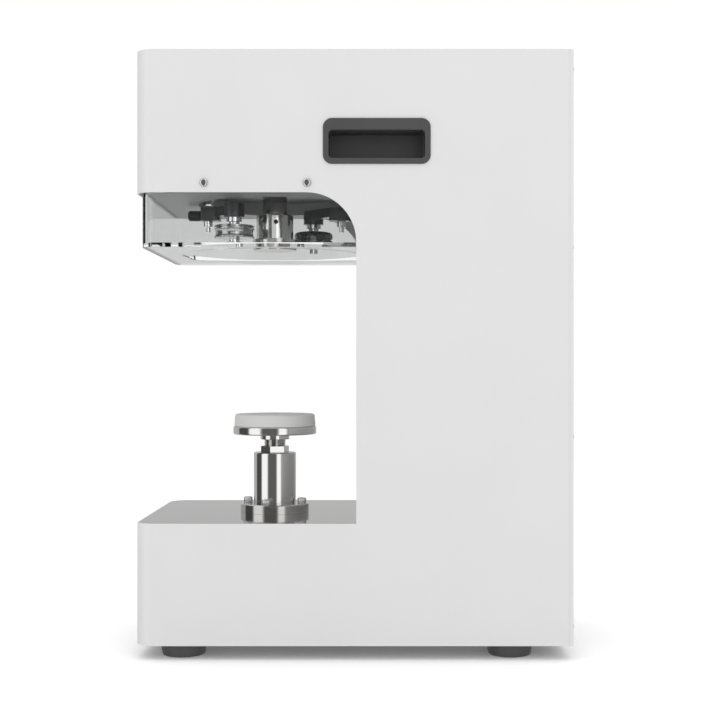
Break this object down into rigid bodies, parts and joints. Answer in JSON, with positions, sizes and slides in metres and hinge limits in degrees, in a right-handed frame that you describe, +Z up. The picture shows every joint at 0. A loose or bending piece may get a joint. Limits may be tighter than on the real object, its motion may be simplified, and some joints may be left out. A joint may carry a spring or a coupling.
{
  "type": "can seamer",
  "caption": "Tabletop electric can seamer: C-shaped white casing, turret with two seaming rolls round a fixed chuck, clear guard and a rising can platform.",
  "frame": {"origin": "centre of the footprint on the ground", "axes": "+Z up; the front with the throat looks towards -X; +Y is the operator's left"},
  "size_m": [0.467, 0.2504, 0.64],
  "materials": {
    "painted_white": "satin white powder coat",
    "deck_steel": "fine brushed and polished",
    "frame_steel": "grey coat",
    "polished_steel": "turned and polished",
    "chrome_plate": "bright",
    "dark_steel": "blackened",
    "black_steel": "black oxide",
    "cast_housing": "painted casting",
    "bearing_steel": "ground",
    "pulley_alloy": "machined",
    "belt_rubber": "matte",
    "foot_rubber": "matte",
    "handle_plastic": "fine grain",
    "clear_guard": "clear acrylic",
    "pad_plastic": "off-white, fine grain",
    "switch_plastic": "black",
    "button_green": "green"
  },
  "bodies": {
    "root": {"side_panel_right": "painted_white", "side_panel_left": "painted_white", "front_panel_head": "painted_white", "front_panel_base": "painted_white", "top_panel": "painted_white", "rear_panel": "painted_white", "column_front_panel": "painted_white", "deck_plate": "deck_steel", "base_pan": "frame_steel", "head_underside": "frame_steel", "frame_plate_right": "frame_steel", "frame_plate_left": "frame_steel", "head_plate": "frame_steel", "shaft_bridge": "frame_steel", "motor_bracket": "frame_steel", "centre_shaft": "polished_steel", "seaming_chuck": "polished_steel", "lifter_guide": "polished_steel", "guard_screws": "chrome_plate", "guide_screws": "chrome_plate", "button_bezel": "chrome_plate", "chuck_set_screw": "black_steel", "spindle_housing": "cast_housing", "drive_motor": "cast_housing", "lift_actuator": "cast_housing", "spindle_bearings": "bearing_steel", "drive_belts": "belt_rubber", "feet": "foot_rubber", "handle_right": "handle_plastic", "handle_left": "handle_plastic", "guard": "clear_guard", "power_module": "switch_plastic"},
    "turret": {"turret_disc": "polished_steel", "turret_spindle": "polished_steel", "turret_pulley": "pulley_alloy"},
    "cam": {"cam_sleeve": "dark_steel", "cam_pulley": "pulley_alloy"},
    "lever_1": {"lever_1": "dark_steel", "lever_pivot_1": "polished_steel", "adjusting_screw_1": "black_steel", "roll_spindle_1": "polished_steel", "rocker_arm_1": "dark_steel"},
    "lever_2": {"lever_2": "dark_steel", "lever_pivot_2": "polished_steel", "adjusting_screw_2": "black_steel", "roll_spindle_2": "polished_steel", "rocker_arm_2": "dark_steel"},
    "roll_1": {"seaming_roll_1": "polished_steel"},
    "roll_2": {"seaming_roll_2": "polished_steel"},
    "follower_1": {"follower_roller_1": "polished_steel"},
    "follower_2": {"follower_roller_2": "polished_steel"},
    "motor_rotor": {"motor_shaft": "polished_steel", "motor_pulleys": "pulley_alloy"},
    "lifter": {"lifter_column": "polished_steel", "lock_nut": "polished_steel"},
    "platform": {"platform_stud": "polished_steel", "platform_plate": "chrome_plate", "platform_pad": "pad_plastic"},
    "start_button": {"start_button": "button_green"},
    "power_rocker": {"switch_rocker": "switch_plastic"}
  },
  "joints": [
    {"name": "turret_spin", "type": "hinge", "parent": "root", "child": "turret", "pos_m": [-0.093, 0, 0.5], "axis": [0, 0, 1], "continuous": true},
    {"name": "cam_spin", "type": "hinge", "parent": "root", "child": "cam", "pos_m": [-0.093, 0, 0.52], "axis": [0, 0, 1], "continuous": true},
    {"name": "motor_spin", "type": "hinge", "parent": "root", "child": "motor_rotor", "pos_m": [0.11, 0, 0.55], "axis": [0, 0, 1], "continuous": true},
    {"name": "lever_1_swing", "type": "hinge", "parent": "turret", "child": "lever_1", "pos_m": [-0.169, 0, 0.48], "axis": [0, 0, 1], "range_deg": [0, 8]},
    {"name": "lever_2_swing", "type": "hinge", "parent": "turret", "child": "lever_2", "pos_m": [-0.017, 0, 0.48], "axis": [0, 0, 1], "range_deg": [0, 8]},
    {"name": "roll_1_spin", "type": "hinge", "parent": "lever_1", "child": "roll_1", "pos_m": [-0.135, -0.037, 0.457], "axis": [0, 0, 1], "continuous": true},
    {"name": "roll_2_spin", "type": "hinge", "parent": "lever_2", "child": "roll_2", "pos_m": [-0.051, 0.037, 0.457], "axis": [0, 0, 1], "continuous": true},
    {"name": "follower_1_spin", "type": "hinge", "parent": "lever_1", "child": "follower_1", "pos_m": [-0.14399, 0.01302, 0.52], "axis": [0, 0, 1], "continuous": true},
    {"name": "follower_2_spin", "type": "hinge", "parent": "lever_2", "child": "follower_2", "pos_m": [-0.04201, -0.01302, 0.52], "axis": [0, 0, 1], "continuous": true},
    {"name": "lifter_slide", "type": "slide", "parent": "root", "child": "lifter", "axis": [0, 0, 1], "range_m": [0, 0.02]},
    {"name": "platform_height", "type": "slide", "parent": "lifter", "child": "platform", "axis": [0, 0, 1], "range_m": [0, 0.025]},
    {"name": "start_press", "type": "slide", "parent": "root", "child": "start_button", "axis": [1, 0, 0], "range_m": [0, 0.003], "stiffness_N_per_m": 400, "springref_m": -0.002},
    {"name": "power_rocker_tilt", "type": "hinge", "parent": "root", "child": "power_rocker", "pos_m": [0.226, 0.022, 0.075], "axis": [0, -1, 0], "range_deg": [0, 14]}
  ],
  "couplings": [
    {"joint": "cam_spin", "follows": "turret_spin", "ratio": 1.0323},
    {"joint": "motor_spin", "follows": "turret_spin", "ratio": 3}
  ]
}
